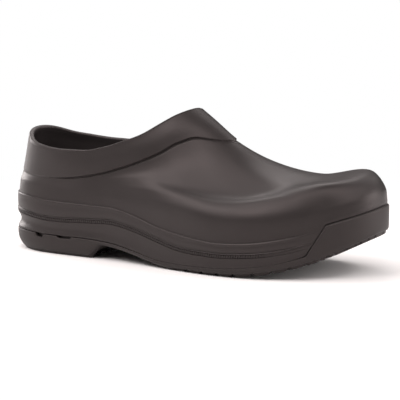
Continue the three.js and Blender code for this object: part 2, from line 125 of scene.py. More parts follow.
# Plan of the sole: centre line and half breadth, as shares of the ball width
PLAN = table(
    "along centre half",
    (0, 0, np.nan),
    (0.06, 0, 0.277),
    (0.15, -0.004, 0.339),
    (0.3, -0.013, 0.353),
    (0.42, -0.031, 0.371),
    (0.55, -0.04, 0.42),
    (0.66, -0.022, 0.478),
    (0.75, 0.004, 0.4955),
    (0.85, 0.036, 0.451),
    (0.93, 0.0625, 0.344),
    (1, 0.09, np.nan),
)

# Side of the sole, as shares of the side height over the toe's lift
SIDE = table(
    "along edge bumper groove foxing floor",
    (0, 0.39, 0.56, 0.8, 1.08, 0.66),
    (0.06, 0.385, 0.56, 0.77, 1.07, 0.66),
    (0.15, 0.358, 0.56, 0.705, 1.015, 0.65),
    (0.3, 0.35, 0.56, 0.74, 0.995, 0.64),
    (0.36, 0.322, 0.56, 0.755, 0.985, 0.59),
    (0.42, 0.252, 0.56, 0.69, 0.905, 0.52),
    (0.5, 0.145, 0.56, 0.55, 0.748, 0.43),
    (0.56, 0.125, 0.56, 0.453, 0.672, 0.375),
    (0.66, 0.137, 0.56, 0.41, 0.598, 0.335),
    (0.75, 0.154, 0.56, 0.406, 0.591, 0.33),
    (0.85, 0.161, 0.57, 0.381, 0.571, 0.33),
    (0.94, 0.161, 0.572, 0.36, 0.51, 0.33),
    (1, 0.161, 0.475, 0.34, 0.46, 0.33),
)

# Depths of the side's form, as shares of the side height
FORM = table(
    "along waist bevel",
    (0, 0.065, 0.18),
    (0.06, 0.06, 0.13),
    (0.15, 0.045, 0.08),
    (0.3, 0.03, 0.07),
    (0.42, 0.02, 0.07),
    (0.6, 0.01, 0.08),
    (0.85, 0.01, 0.08),
    (0.93, 0.01, 0.05),
    (1, 0.01, 0.04),
)

# Sections of the upper over the foxing line: inwards as shares of the ball width, upwards and
# hollow as shares of the instep height. Towards the toe, turn and hollow are rounded results of a
# least-squares fit to the outline
WALLS = table(
    "along wall_in wall_up turn_in turn_up hollow",
    (0, 0.005, 0.045, 0.012, 0.09, 0),
    (0.15, 0.005, 0.045, 0.011, 0.09, 0),
    (0.3, 0.005, 0.054, 0.012, 0.1, 0),
    (0.42, 0.006, 0.09, 0.027, 0.163, 0),
    (0.5, 0.007, 0.145, 0.036, 0.217, 0.009),
    (0.56, 0.008, 0.163, 0.045, 0.235, 0.024),
    (0.66, 0.009, 0.163, 0.054, 0.24, 0.05),
    (0.75, 0.009, 0.154, 0.054, 0.24, 0.069),
    (0.85, 0.009, 0.136, 0.058, 0.245, 0.082),
    (0.93, 0.011, 0.131, 0.062, 0.252, 0.088),
    (1, 0.013, 0.109, 0.096, 0.192, 0.098),
)

# Collar from its back to its front: rim and seat as shares of the instep height, and the band's
# lower edge as a share of the way from seat to rim. Most are rounded results of least-squares
# fits to the outline
COLLAR = table(
    "along rim seat band",
    (0, 0.828, 0.541, 0.078),
    (0.1, 0.768, 0.527, 0.061),
    (0.2, 0.744, 0.521, 0.057),
    (0.3, 0.731, 0.523, 0.065),
    (0.4, 0.729, 0.535, 0.093),
    (0.5, 0.731, 0.557, 0.146),
    (0.6, 0.758, 0.588, 0.227),
    (0.7, 0.798, 0.618, 0.32),
    (0.8, 0.848, 0.649, 0.416),
    (0.9, 0.929, 0.694, 0.482),
    (0.95, 0.972, 0.747, 0.39),
    (1, 1.008, 0.804, 0.01),
)

# Gaps between the lugs of the sole's edge: place along the shoe and width in millimetres
EDGE_GAPS = table(
    "along width",
    (0.585, 2.6),
    (0.63, 2.6),
    (0.675, 2.6),
    (0.72, 2.6),
    (0.768, 2.8),
    (0.816, 3.4),
    (0.854, 3.6),
    (0.889, 3),
    (0.917, 1.6),
    (0.931, 2.2),
    (0.943, 2.2),
    (0.964, 1.6),
    (0.977, 1.6),
    (0.984, 1.8),
    (0.993, 1.8),
    (0.9985, 1.6),
)

# Dips in the outsole's top edge at the heel, where the foam shows between rubber teeth
HEEL_DIPS = table(
    "along width depth",
    (0.128, 10, 2.6),
    (0.207, 15, 1.5),
)


def clamp(value, low=0.0, high=1.0):
    return np.clip(value, low, high)


def lerp(start, end, part):
    return start + (end - start) * part


def ramp(value, start, end):
    """0 before start, 1 after end and straight between."""
    return clamp((value - start) / (end - start))


def soft(value, start, end):
    """0 before start, 1 after end and an S curve between."""
    t = ramp(value, start, end)
    return t * t * (3 - 2 * t)


def hump(distance, width):
    """A soft bump of height 1: the bell curve of distance over width."""
    return np.exp(-((distance / width) ** 2))


def end_slopes(gaps, slopes):
    """Slopes at the knots: the mean of the slopes on both sides, weighted by the other gap."""
    mean = slopes[:-1] * gaps[1:] + slopes[1:] * gaps[:-1]
    inner = mean / (gaps[:-1] + gaps[1:])
    return np.concatenate([slopes[:1], inner, slopes[-1:]])


def hermite(u, gap, start, end, slope_start, slope_end):
    """Cubic between two knots with the given slopes, at the share u of the gap."""
    v = 1 - u
    straight = v * v * (1 + 2 * u) * start + u * u * (1 + 2 * v) * end
    return straight + gap * u * v * (v * slope_start - u * slope_end)


def curve(at, values):
    """A smooth function through the knots (at, values)."""
    at, values = np.asarray(at, float), np.asarray(values, float)
    gaps = np.diff(at)
    slopes = end_slopes(gaps, np.diff(values) / gaps)

    def value(place):
        place = clamp(place, at[0], at[-1])
        i = clamp(np.searchsorted(at, place, side="right") - 1, 0, len(gaps) - 1)
        u = (place - at[i]) / gaps[i]
        return hermite(u, gaps[i], values[i], values[i + 1], slopes[i], slopes[i + 1])

    return value


def columns_of(rows, scale, names):
    """Smooth functions of the share along, one for each named column."""
    return {name: curve(rows["along"], rows[name] * scale) for name in names.split()}


SIDE_OF = {
    **columns_of(SIDE, SIDE_HEIGHT, "edge bumper groove foxing floor"),
    **columns_of(FORM, SIDE_HEIGHT, "waist bevel"),
}
SECTION = {
    **columns_of(WALLS, BALL_WIDTH, "wall_in turn_in"),
    **columns_of(WALLS, INSTEP_HEIGHT, "wall_up turn_up hollow"),
}
COLLAR_OF = {
    **columns_of(COLLAR, INSTEP_HEIGHT, "rim seat"),
    **columns_of(COLLAR, 1, "band"),
}


def make_girth():
    """Half breadth of the plan over the round factor of the share along."""
    along = PLAN["along"]
    inner = PLAN["half"][1:-1] * BALL_WIDTH / (2 * np.sqrt(along[1:-1] * (1 - along[1:-1])))
    ends = [math.sqrt(radius * LENGTH / 2) for radius in (HEEL_RADIUS, TOE_RADIUS)]
    return curve(along, [ends[0], *inner, ends[1]])


girth = make_girth()
centre_line = curve(PLAN["along"], PLAN["centre"] * BALL_WIDTH)
TOE_CENTRE = float(centre_line(1.0))


def share_at(angle):
    return (1 - np.cos(angle)) / 2


def angle_at(share):
    return np.arccos(1 - 2 * share)


def share_of(x):
    return clamp(x / LENGTH + 0.5)


def plan_point(angle):
    """Outline of the sole: an ellipse with a bent centre line and a swelling half breadth."""
    share = share_at(angle)
    return (share - 0.5) * LENGTH, centre_line(share) - np.sin(angle) * girth(share)


def plan_normal(angle):
    """Outward normal of the outline, from a point just before and one just after."""
    step = 0.001
    xa, ya = plan_point(angle - step)
    xb, yb = plan_point(angle + step)
    span = np.hypot(xb - xa, yb - ya)
    return (yb - ya) / span, (xa - xb) / span


class Stations:
    """Columns round the shoe: places on the outline with their outward normals."""

    def __init__(self, half, corners=()):
        fine = np.linspace(0, math.pi, 4001)
        x, y = plan_point(fine)
        walked = np.concatenate([[0], np.cumsum(np.hypot(np.diff(x), np.diff(y)))])
        outer = np.interp(np.linspace(0, walked[-1], half + 1), walked, fine)
        for corner in corners:
            near = 1 + np.argmin(np.abs(outer[1:-1] - corner))
            outer[near] = corner
        self.half = half
        self.angle = np.concatenate([outer, 2 * math.pi - outer[-2:0:-1]])
        self.share = share_at(self.angle)
        self.x, self.y = plan_point(self.angle)
        self.nx, self.ny = plan_normal(self.angle)
        closed = np.hypot(np.diff(self.x, append=self.x[0]), np.diff(self.y, append=self.y[0]))
        self.walked = np.concatenate([[0], np.cumsum(closed)])

    def inset(self, depth, z=0.0):
        """Points a depth inside the outline, at the height z."""
        x, y = self.x - self.nx * depth, self.y - self.ny * depth
        return np.stack([x, y, np.broadcast_to(z, x.shape)], -1)

    def ground_ring(self, depth, height):
        """A ring whose height follows the place where each point comes to lie."""
        points = self.inset(depth)
        points[:, 2] = height(share_of(points[:, 0]), points[:, 1])
        return points

    def side_ring(self, depth, height):
        """A ring whose height follows the station's own place on the outline."""
        return self.inset(depth, height)


def toe_lift(share, y):
    """The toe spring: a power curve from the ball, a little higher on the inner side."""
    twist = SPRING_TWIST * (y - TOE_CENTRE) / BALL_WIDTH
    rise = (share - SPRING_START) / (1 - SPRING_START) + twist
    return TOE_SPRING * np.maximum(0, rise) ** 2.2


def arch_rise(share):
    """The arch: a ramp up the heel's breast and half a cosine wave down to the ball."""
    fall = (1 + np.cos(math.pi * ramp(share, BREAST_TOP, ARCH_END))) / 2
    return ARCH_HEIGHT * ramp(share, HEEL_END, BREAST_TOP) * fall


def ground(share, y):
    return toe_lift(share, y) + arch_rise(share)


def on_ground(share):
    """1 where the sole has lugs, 0 along the arch."""
    return 1 - ramp(share, HEEL_END, BREAST_TOP) + soft(share, 0.5, 0.58)


def lug_top(share, y):
    return ground(share, y) + LUG_DEPTH * on_ground(share)


def tray_surface(share, y):
    return lug_top(share, y) + SHEET


def floor_height(share, y):
    return SIDE_OF["floor"](share) + 0.8 * toe_lift(share, y)


def edge_height(share, y):
    """Top edge of the outsole, with the ramp up to the toe bumper."""
    rise = ramp(share, BUMPER_LOW, BUMPER_TOP)
    return toe_lift(share, y) + lerp(SIDE_OF["edge"](share), SIDE_OF["bumper"](share), rise)


def tray_corner(share, y):
    return np.minimum(tray_surface(share, y) + TRAY_CORNER, edge_height(share, y) - 0.2)


def lip(share, y):
    return edge_height(share, y) + CLEARANCE


def side_lines(share):
    """The moulded lines of the side fade out before the toe, where the bumper covers them."""
    return 1 - soft(share, 0.84, 0.92)


# The foxing line stays at least nine of these steps, in millimetres, above the lip
LINE = 0.25


def foxing_height(share, y):
    height = toe_lift(share, y) + SIDE_OF["foxing"](share)
    return np.maximum(height, lip(share, y) + 9 * LINE)


def collar_point(angle, back, front, width, height, tilt):
    """A ring of the collar: an egg with a full back, its inner side tipped up."""
    share, cosine, sine = share_at(angle), np.cos(angle), np.sin(angle)
    y = -sine * (width / 2) * (1 + 0.12 * cosine + 0.25 * cosine * cosine)
    z = height(share) - sine * tilt * (1 - share) ** 2
    return np.stack([lerp(back, front, share), y, z], -1)


RIM_FRONT = (THROAT - 0.5) * LENGTH


def leant(angle):
    """Collar angle that a column runs up to: the sections lean towards the throat."""
    return angle + COLLAR_LEAN * np.sin(angle)


class Skin:
    """Outer surface of the upper: at each station a curve from the foxing line by the wall, the
    shoulder and the vamp to the band's seat and the rim, through knots spaced by a power of
    their distance."""

    def __init__(self, stations):
        angle, share, y = stations.angle, stations.share, stations.y
        base = toe_lift(share, y) + SIDE_OF["foxing"](share)

        def on_wall(name):
            depth = FOXING_STEP + SECTION[name + "_in"](share)
            return stations.side_ring(depth, base + SECTION[name + "_up"](share))

        foot = stations.side_ring(FOXING_STEP, foxing_height(share, y))
        wall, turn = on_wall("wall"), on_wall("turn")
        back, front = SEAT_SETBACK - LENGTH / 2, RIM_FRONT + SEAT_LENGTH
        collar = leant(angle)
        tilt = COLLAR_TILT / 2
        seat = collar_point(collar, back, front, SEAT_WIDTH, COLLAR_OF["seat"], tilt)
        rim = collar_point(
            collar,
            COLLAR_SETBACK - LENGTH / 2,
            RIM_FRONT,
            COLLAR_WIDTH,
            COLLAR_OF["rim"],
            COLLAR_TILT,
        )
        between = []
        for part in (0.36, 0.7):
            point = lerp(turn, seat, part)
            point[:, 2] -= SECTION["hollow"](share) * 4 * part * (1 - part)
            between.append(point)
        self.points = np.array([foot, wall, turn, *between, seat, rim])
        steps = np.diff(self.points, axis=0)
        self.gaps = np.linalg.norm(steps, axis=2, keepdims=True) ** KNOT_POWER
        self.slopes = end_slopes(self.gaps, steps / self.gaps)
        self.edge_key = SEAT_KEY + COLLAR_OF["band"](share_at(collar))
        self.band_share = soft(share_at(collar), 0.1, 0.45)
        self.band_step = BAND_STEP * lerp(0.35, 1, self.band_share)

    def at(self, key):
        """Points at the keys, one row of keys for each row of points."""
        low = clamp(np.floor(key), 0, RIM_KEY - 1).astype(int)
        column = np.broadcast_to(np.arange(key.shape[1]), key.shape)
        u = (key - low)[..., None]
        ends = self.points[low, column], self.points[low + 1, column]
        slopes = self.slopes[low, column], self.slopes[low + 1, column]
        return hermite(u, self.gaps[low, column], *ends, *slopes)

    def speed(self, key):
        """Millimetres of surface for each unit of key."""
        step = 0.01
        key = np.broadcast_to(key, self.edge_key.shape)[None]
        ahead, behind = self.at(key + step), self.at(key - step)
        return np.linalg.norm(ahead - behind, axis=2)[0] / (2 * step)


def grid_normals(points):
    """Outward normals of rows that run round the shoe and climb: round crossed with up."""
    around = np.roll(points, -1, 1) - np.roll(points, 1, 1)
    up = np.gradient(points, axis=0)
    normals = np.cross(around, up)
    return normals / np.linalg.norm(normals, axis=2, keepdims=True)


def climbed(points):
    """Distance walked up each column from its first row."""
    steps = np.linalg.norm(np.diff(points, axis=0), axis=2)
    return np.concatenate([np.zeros((1, points.shape[1])), np.cumsum(steps, 0)])


def joined(rows):
    """Rows given as single rings or blocks of rings, as one block."""
    return np.concatenate([row if row.ndim == 3 else row[None] for row in rows])


def closed_faces(rows, columns):
    """Quads between neighbouring rings, the last column joined to the first."""
    i, j = np.meshgrid(np.arange(rows - 1), np.arange(columns), indexing="ij")
    k = (j + 1) % columns
    quads = [i * columns + j, i * columns + k, (i + 1) * columns + k, (i + 1) * columns + j]
    return np.stack(quads, -1).reshape(-1, 4)


def cap_grid(ring, inner_rows, lift=None):
    """Points that rule a ring across, from each outer column to the inner one opposite. A lift
    (part, column) raises them."""
    half = len(ring) // 2
    left = ring[1:half]
    right = ring[:half:-1]
    part = np.linspace(0, 1, inner_rows + 2)[1:-1, None, None]
    points = lerp(left[None], right[None], part)
    if lift is not None:
        points[..., 2] += lift(part[..., 0], np.arange(1, half)[None])
    return points


def cap_faces(first, half, inner_first, inner_rows, up):
    """Quads and end triangles of a ruled cap over the ring that starts at first."""
    columns = 2 * half
    grid = np.empty((half - 1, inner_rows + 2), int)
    grid[:, 0] = first + np.arange(1, half)
    grid[:, -1] = first + columns - np.arange(1, half)
    grid[:, 1:-1] = inner_first + np.arange(inner_rows * (half - 1)).reshape(inner_rows, -1).T
    near, far = grid[:-1], grid[1:]
    quads = np.stack([near[:, :-1], far[:, :-1], far[:, 1:], near[:, 1:]], -1).reshape(-1, 4)
    heel, toe = np.full(inner_rows + 1, first), np.full(inner_rows + 1, first + half)
    ends = np.concatenate(
        [
            np.stack([heel, grid[0, :-1], grid[0, 1:]], -1),
            np.stack([toe, grid[-1, 1:], grid[-1, :-1]], -1),
        ]
    )
    if not up:
        quads, ends = quads[:, ::-1], ends[:, ::-1]
    return [*quads.tolist(), *ends.tolist()]


def make_mesh(name, points, faces, material):
    """An object with its place in its mesh, shaded smooth up to the angle of a crisp edge."""
    mesh = bpy.data.meshes.new(name)
    mesh.from_pydata((points * METRE).tolist(), [], faces)
    mesh.validate()
    mesh.shade_smooth()
    mesh.set_sharp_from_angle(angle=CRISP_ANGLE)
    mesh.materials.append(material)
    piece = bpy.data.objects.new(name, mesh)
    bpy.context.scene.collection.objects.link(piece)
    return piece


def ring_solid(rings, bottom_rows, top_rows, lift=None):
    """Points and faces of a closed solid of rings with a ruled cap at each end."""
    rows, columns = rings.shape[:2]
    half = columns // 2
    body = rings.reshape(-1, 3)
    low = cap_grid(rings[0], bottom_rows).reshape(-1, 3)
    high = cap_grid(rings[-1], top_rows, lift).reshape(-1, 3)
    faces = closed_faces(rows, columns).tolist()
    faces += cap_faces(0, half, len(body), bottom_rows, False)
    faces += cap_faces((rows - 1) * columns, half, len(body) + len(low), top_rows, True)
    return np.concatenate([body, low, high]), faces


# The side of the upper, from the outsole's lip up. Each row says where it lies: on the lip, up
# the waist, around the upper line or under the foxing line, then millimetres up from there and
# millimetres into the side
LIP_ROWS = ((0, 1.0), (0.05, 0.7), (0.3, 0.42), (0.8, 0.3))
BEAD_ROWS = (
    (-3.6, 0.28),
    (-3.3, 0.3),
    (-3.2, 0.5),
    (-3.1, 0.9),
    (-2.75, 0.95),
    (-2.6, 0.9),
    (-1.7, 0.85),
    (-0.95, 0.82),
    (-0.78, 0.45),
    (-0.68, 0.08),
    (-0.5, -0.1),
    (-0.15, 0.06),
    (0.0, 0.12),
    (0.15, 0.42),
    (0.35, 0.62),
    (0.6, 0.5),
    (1.1, 0.26),
)
FOXING_ROWS = (
    (-1.3, 0.0),
    (-1.1, 0.02),
    (-0.28, 0.42),
    (-0.12, 0.6),
    (-0.05, 0.85),
    (-0.02, 1.08),
    (-0.01, 1.3),
)


def seam_depth(share):
    """How far the foam's lip opens over the rubber: clear at the heel, the arch and up the
    slanting end of the bumper, and nearly shut along the forefoot and over the toe."""
    forefoot = soft(share, 0.36, 0.5) * (1 - soft(share, 0.872, 0.886))
    return 1 - 0.85 * np.maximum(forefoot, soft(share, BUMPER_TOP, BUMPER_TOP + 0.012))


def upper_side(stations):
    """Rings from the lip over the lower side, the beaded line and the foxing."""
    share, y = stations.share, stations.y
    lifted = toe_lift(share, y)
    groove, foxing = lifted + SIDE_OF["groove"](share), lifted + SIDE_OF["foxing"](share)
    low = lip(share, y)
    lines = side_lines(share)
    seam = seam_depth(share)
    low = low - 0.22 * (1 - seam)
    rows = [(low + up, 0.3 + (into - 0.3) * seam) for up, into in LIP_ROWS]
    waist = SIDE_OF["waist"](share)
    for part in np.linspace(0.1, 0.95, 9):
        bend = (waist - 0.3) * np.sin(math.pi * part) ** 1.3 + 0.3
        rows.append((lerp(low + 0.8, groove - 3.5, part), bend))
    rows += [(groove + up, into) for up, into in BEAD_ROWS]
    for part in np.linspace(0.12, 0.9, 6):
        rows.append((lerp(groove + 1.1, foxing - 1.5, part), 0.26 * (1 - math.sin(math.pi * part))))
    rows += [(foxing + up, into) for up, into in FOXING_ROWS]
    heights = np.array([np.broadcast_to(height, share.shape) for height, _ in rows])
    depths = np.array([np.broadcast_to(depth, share.shape) for _, depth in rows])
    least = low + np.linspace(0, 9 * LINE - 0.05, len(rows))[:, None]
    heights = np.maximum(heights, least)
    depths[4:] = lerp(FOXING_STEP, depths[4:], lines)
    depths[:4] += (FOXING_STEP - 0.3) * (1 - lines)
    return [stations.side_ring(depth, height) for depth, height in zip(depths, heights)]


def bridged(points, keys, share, skin):
    """The rings with the fold behind the ball bridged: a cubic curve from the wall's top to the
    vamp, with the skin's own slopes at both ends."""
    first, last = 1.5, 3.8
    span, tiny = last - first, 0.02
    low, high = skin.at(np.full((2, len(share)), first) + [[0], [tiny]])
    end, above = skin.at(np.full((2, len(share)), last) + [[0], [tiny]])
    u = clamp((keys - first) / span)[..., None]
    curve_points = (
        low * (1 + 2 * u) * (1 - u) ** 2
        + (high - low) / tiny * span * u * (1 - u) ** 2
        + end * u * u * (3 - 2 * u)
        + (above - end) / tiny * span * u * u * (u - 1)
    )
    pull = 0.9 * soft(share, 0.42, 0.52) * (1 - soft(share, 0.68, 0.82))
    return lerp(points, curve_points, np.where((u > 0) & (u < 1), pull[:, None], 0))


def upper_skin(stations, skin):
    """Rings over the wall, the shoulder, the vamp and the collar band, with the soft creases of
    the moulding and the band's step, up to the rim."""
    share = stations.share
    edge = skin.edge_key
    near = np.array([-5, -3.4, -2.2, -1.4, -0.9, -0.5, -0.2, 0, 0.2, 0.5, 0.9, 1.5, 2.4, 3.8, 5.6])
    edge_keys = edge + near[:, None] / skin.speed(edge)
    parts = np.concatenate(
        [
            np.linspace(0.02, 1, 12),
            1 + np.linspace(0, 1, 13)[1:],
            2 + np.linspace(0, 1, 15)[1:],
            3 + np.linspace(0, 1, 13)[1:],
            4 + np.linspace(0, 1, 10)[1:-1],
        ]
    )
    low = parts[:, None] / 5 * edge_keys[0]
    high_part = np.linspace(0, 1, 13)[1:-1, None]
    last = RIM_KEY - RIM_ROUND * 1.1 / skin.speed(RIM_KEY - 0.02)
    high = lerp(edge_keys[-1], last, high_part)
    keys = np.concatenate([low, edge_keys, high, last[None]])
    points = bridged(skin.at(keys), keys, share, skin)
    normals = grid_normals(points)
    walked = climbed(points)
    at_edge = len(parts) + int(np.argmin(np.abs(near)))
    beyond = walked - walked[at_edge]
    total = walked[-1] - walked[at_edge]
    offset = skin.band_step * soft(beyond, lerp(-1.6, -0.1, skin.band_share), 0.9)
    collar_share = share_at(leant(stations.angle))
    tongue = soft(collar_share, 0.9, 0.99)
    front = soft(collar_share, 0.05, 0.45)
    cut = front * (1 - 0.6 * tongue)
    offset -= 0.8 * cut * hump(beyond + 0.4, 0.5)
    roll = np.sin(math.pi * clamp(beyond / total)) ** 1.5
    offset += 0.5 * skin.band_share * roll
    # The shoulder's crease: a slightly firmer corner
    crease = curve([0, 0.3, 0.42, 0.5, 0.66, 0.85, 1], [6, 8, 13, 18, 20, 17.5, 15])(share)
    fading = 1 - soft(share, 0.84, 0.97)
    offset += 0.3 * soft(share, 0.46, 0.7) * fading * hump(walked - crease, 5)
    return points + normals * offset[..., None], keys, offset


def upper_rim(stations, skin):
    """Rings over the rim: a flattened half round from the band to the inner wall."""
    rim = skin.at(np.full((2, len(stations.x)), RIM_KEY) - [[0.03], [0]])
    normals = grid_normals(rim)[1]
    turn = np.linspace(0, math.pi, 12)
    across = np.sign(np.cos(turn)) * np.abs(np.cos(turn)) ** 0.7
    rise = RIM_ROUND * (np.sin(turn) ** 0.7 - 1)
    rings = []
    for a, r in zip(across, rise):
        offset = skin.band_step - COLLAR_WALL / 2 + a * COLLAR_WALL / 2
        ring = rim[1] + normals * offset[:, None]
        ring[:, 2] += r
        rings.append(ring)
    return rings


def upper_inside(stations, skin):
    """Rings down the inner wall, its thickness growing towards the sole, to the floor."""
    share, y = stations.share, stations.y
    parts = np.concatenate(
        [
            np.linspace(5.85, 5, 7),
            np.linspace(4.7, 3, 7),
            np.linspace(2.7, 1, 8),
            [0.8, 0.5],
        ]
    )
    keys = np.repeat(parts[:, None], len(share), 1)
    points = skin.at(keys)
    normals = -grid_normals(points)
    wall = lerp(WALL, COLLAR_WALL - BAND_STEP, soft(keys, 4.5, SEAT_KEY))
    thickness = lerp(SIDE_WALL, wall, soft(keys, 0, 2))
    inner = points - normals * thickness[..., None]
    corner = []
    for turn in np.linspace(0, math.pi / 2, 6)[1:]:
        depth = INSIDE + CORNER * (1 - math.cos(turn))
        up = CORNER * (1 - math.sin(turn))
        corner.append(stations.ground_ring(depth, lambda s, v, up=up: floor_height(s, v) + up))
    low = stations.ground_ring(INSIDE, lambda s, v: floor_height(s, v) + CORNER)
    foot = stations.side_ring(INSIDE - FLOOR_LEAN, foxing_height(share, y))
    return [*inner, foot, low, *corner]


def upper_piece(material):
    """The upper: one moulding from the core in the outsole's tray, up the beaded side, over the
    vamp and the collar band, over the rim and down to its own floor."""
    corners = [angle_at(BUMPER_LOW), angle_at(BUMPER_TOP)]
    stations = Stations(262, corners)
    skin = Skin(stations)
    share, y = stations.share, stations.y
    core = OUTSOLE_WALL + CLEARANCE
    outer, _, _ = upper_skin(stations, skin)
    rings = joined(
        [
            stations.ground_ring(core + TRAY_CORNER, lambda s, v: tray_surface(s, v) + CLEARANCE),
            stations.ground_ring(core, lambda s, v: tray_corner(s, v) + CLEARANCE),
            stations.side_ring(core, lip(share, y)),
            *upper_side(stations),
            outer,
            *upper_rim(stations, skin),
            *upper_inside(stations, skin),
        ]
    )
    points, faces = ring_solid(rings, 5, 7)
    return make_mesh("upper_moulding", points, faces, material)


RIB_PITCH, RIB_WIDTH, RIB_SLANT = 1.9, 1.6, 0.4


def bead_ribs(material):
    """The fine ribs of the beaded line, each a low slanted bar with sloping flanks: four points
    on its foot and four on its crown."""
    stations = Stations(360)
    length = stations.walked[-1]
    count = int(length / RIB_PITCH)
    start = (np.arange(count) + 0.5) * RIB_PITCH
    foot = np.array([(-1, -2.75), (1, -2.75), (1, -0.95), (-1, -0.95)])
    angles = np.append(stations.angle, 2 * math.pi)
    middle = (foot[:, 1].min() + foot[:, 1].max()) / 2
    points = []
    for part, depth in ((1, 1.3), (0.86, 0.06)):
        for across, up in foot:
            height = middle + (up - middle) * lerp(0.8, 1, part)
            along = start + across * RIB_WIDTH / 2 * part + RIB_SLANT * (up - middle)
            angle = np.interp(along % length, stations.walked, angles)
            share = share_at(angle)
            x, y = plan_point(angle)
            nx, ny = plan_normal(angle)
            z = toe_lift(share, y) + SIDE_OF["groove"](share) + height
            points.append(np.stack([x - nx * depth, y - ny * depth, z], -1))
    points = np.stack(points, 1)
    keep = share_at(np.interp(start % length, stations.walked, angles)) < 0.8
    points = points[keep]
    block = np.array(
        [(0, 1, 2, 3), (7, 6, 5, 4), (0, 4, 5, 1), (1, 5, 6, 2), (2, 6, 7, 3), (3, 7, 4, 0)]
    )
    faces = (block[None] + 8 * np.arange(len(points))[:, None, None]).reshape(-1, 4)
    piece = make_mesh("bead_ribs", points.reshape(-1, 3), faces.tolist(), material)
    outward(piece.data)
    return piece


def outward(mesh):
    """Turns all faces of closed shells outward."""
    work = bmesh.new()
    work.from_mesh(mesh)
    bmesh.ops.recalc_face_normals(work, faces=work.faces)
    work.to_mesh(mesh)
    work.free()


def gap_mask(stations):
    """1 in the gaps between the lugs of the sole's edge, 0 on the lugs, with short flanks."""
    mask = np.zeros(len(stations.x))
    total = stations.walked[-1]
    place = stations.walked[:-1]
    angles = np.append(stations.angle, 2 * math.pi)
    for share, width in zip(EDGE_GAPS["along"], EDGE_GAPS["width"]):
        for angle in (angle_at(share), 2 * math.pi - angle_at(share)):
            middle = np.interp(angle, angles, stations.walked)
            apart = np.abs(place - middle)
            apart = np.minimum(apart, total - apart)
            mask = np.maximum(mask, 1 - ramp(apart, width / 2 - 0.4, width / 2 + 0.4))
    return mask


def heel_dips(stations):
    """Depth of the dips in the heel's top edge, in millimetres."""
    dips = np.zeros(len(stations.x))
    angles = np.append(stations.angle, 2 * math.pi)
    place = stations.walked[:-1]
    for share, width, depth in zip(*(HEEL_DIPS[name] for name in ("along", "width", "depth"))):
        for angle in (angle_at(share), 2 * math.pi - angle_at(share)):
            middle = np.interp(angle, angles, stations.walked)
            apart = np.abs(place - middle)
            dips = np.maximum(dips, depth * (1 - soft(apart, width / 2 - 2.5, width / 2)))
    return dips


# The lit crest of the toe bumper: millimetres down from its top and millimetres into the side
CREST_ROWS = ((1.3, 0.0), (1.15, 0.03), (0.2, 0.56), (0.06, 0.74), (0.01, 0.95), (0, 1.2))


def outsole_shell(stations):
    """Rings of the outsole from the inner foot of its edge rib, under the lugs, up the bevelled
    side, over the top edge and down into the tray."""
    share, y = stations.share, stations.y
    gaps = gap_mask(stations)
    dips = heel_dips(stations)
    lugs = np.maximum(on_ground(share), 0.02)
    edge = edge_height(share, y) - dips
    side_rise = np.minimum(edge_height(share, y) - ground(share, y), SIDE_OF["edge"](share))
    bevel = SIDE_OF["bevel"](share)

    def under(depth, part):
        """Ring below the sheet, at a part of the lug's height."""
        lift = LUG_DEPTH * lugs * lerp(part, 1, 0.97 * gaps)

        def height(s, v):
            return ground(s, v) + lift

        return stations.ground_ring(depth, height)

    def side(part, depth):
        return stations.side_ring(depth, ground(share, y) + side_rise * part)

    start = LUG_DEPTH * 1.1 * lugs / side_rise
    shelf = bevel * (1 - start) ** 3
    wall = np.minimum(np.maximum(bevel, shelf + SHELF), EDGE_RIB - 1.6)
    rings = [
        under(EDGE_RIB, 1.0),
        under(EDGE_RIB - 0.35, 0.15),
        under(EDGE_RIB - 0.7, 0.0),
        under(lerp(EDGE_RIB - 0.7, wall + 0.3, 0.5), 0.0),
        under(wall + 0.3, 0.0),
        under(wall, 0.12),
        under(wall - 0.15, 0.96),
        under(shelf + 0.35, 1.0),
    ]
    for part in (0.0, 0.12, 0.28, 0.46, 0.65, 0.85, 1.0):
        at = lerp(start, 0.8, part)
        rings.append(side(at, bevel * (1 - at) ** 3))
    crest = soft(share, BUMPER_TOP, 0.94)
    round_edge = 0.3 + 0.7 * np.maximum(seam_depth(share), crest)
    last = bevel * 0.2**3
    for turn, (drop, into) in zip(np.linspace(0, math.pi / 2, 6), CREST_ROWS):
        depth = last * (1 - turn) * (turn < 1) + round_edge * (1 - math.cos(turn))
        down = round_edge * (1 - math.sin(turn))
        rings.append(stations.side_ring(lerp(depth, into, crest), edge - lerp(down, drop, crest)))
    inner = OUTSOLE_WALL
    rings += [
        stations.side_ring(inner - 0.4, edge),
        stations.side_ring(inner, edge - 0.3),
        stations.ground_ring(inner, tray_corner),
        stations.ground_ring(inner + TRAY_CORNER, tray_surface),
    ]
    return joined(rings)


def clip_to_box(polygon, low, high):
    """The part of a polygon inside an upright box: cut in turn by the box's four sides."""
    for axis, limit, sign in ((0, low[0], 1), (0, high[0], -1), (1, low[1], 1), (1, high[1], -1)):
        if not len(polygon):
            break
        inside = sign * (polygon[:, axis] - limit)
        kept = []
        for a, b, da, db in zip(
            polygon, np.roll(polygon, -1, 0), inside, np.roll(inside, -1)
        ):
            if da >= 0:
                kept.append(a)
            if (da >= 0) != (db >= 0):
                kept.append(lerp(a, b, da / (da - db)))
        polygon = np.array(kept)
    return polygon


def area_of(polygon):
    """Area of a polygon: half the sum of its cross products."""
    x, y = polygon.T
    return 0.5 * float(np.sum(x * np.roll(y, -1) - y * np.roll(x, -1)))


